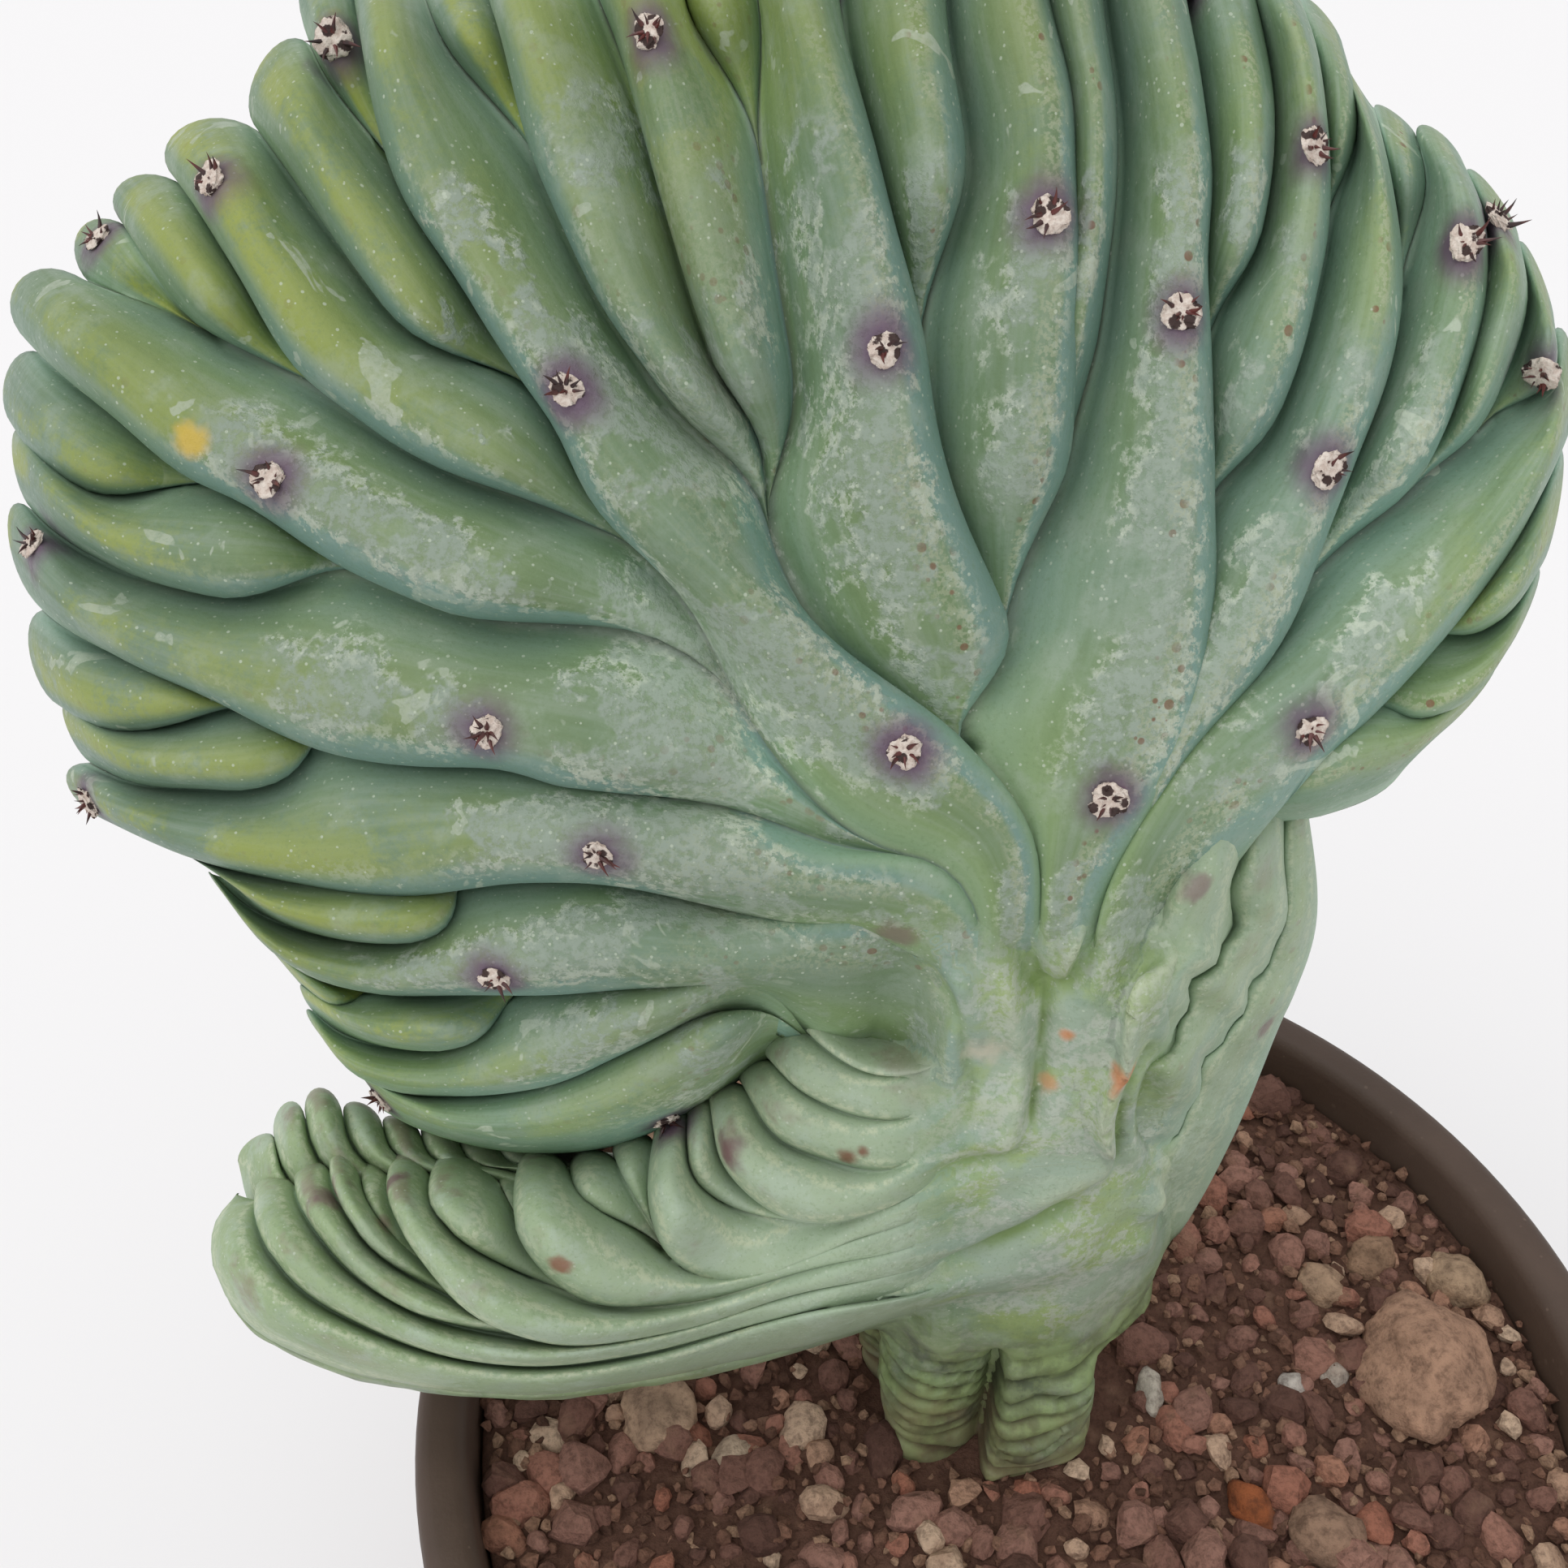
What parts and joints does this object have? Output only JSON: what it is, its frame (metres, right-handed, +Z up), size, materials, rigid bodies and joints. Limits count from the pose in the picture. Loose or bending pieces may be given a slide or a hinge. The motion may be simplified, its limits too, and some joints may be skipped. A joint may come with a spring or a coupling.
{
  "type": "potted cactus",
  "caption": "Crested blue candle cactus with a fan of folded ribs, growing from gravelly soil in a round plastic nursery pot.",
  "frame": {"origin": "centre of the pot's underside", "axes": "+Z up along the pot's axis, -Y towards the broad front of the fan, +X to the fan's right seen from the front"},
  "size_m": [0.204, 0.17, 0.3086],
  "materials": {
    "cactus_skin": "waxy, matte",
    "pot_plastic": "matte",
    "soil_gravel": "rough"
  },
  "bodies": {
    "root": {"cactus": "cactus_skin", "pot": "pot_plastic", "soil": "soil_gravel"}
  },
  "joints": []
}
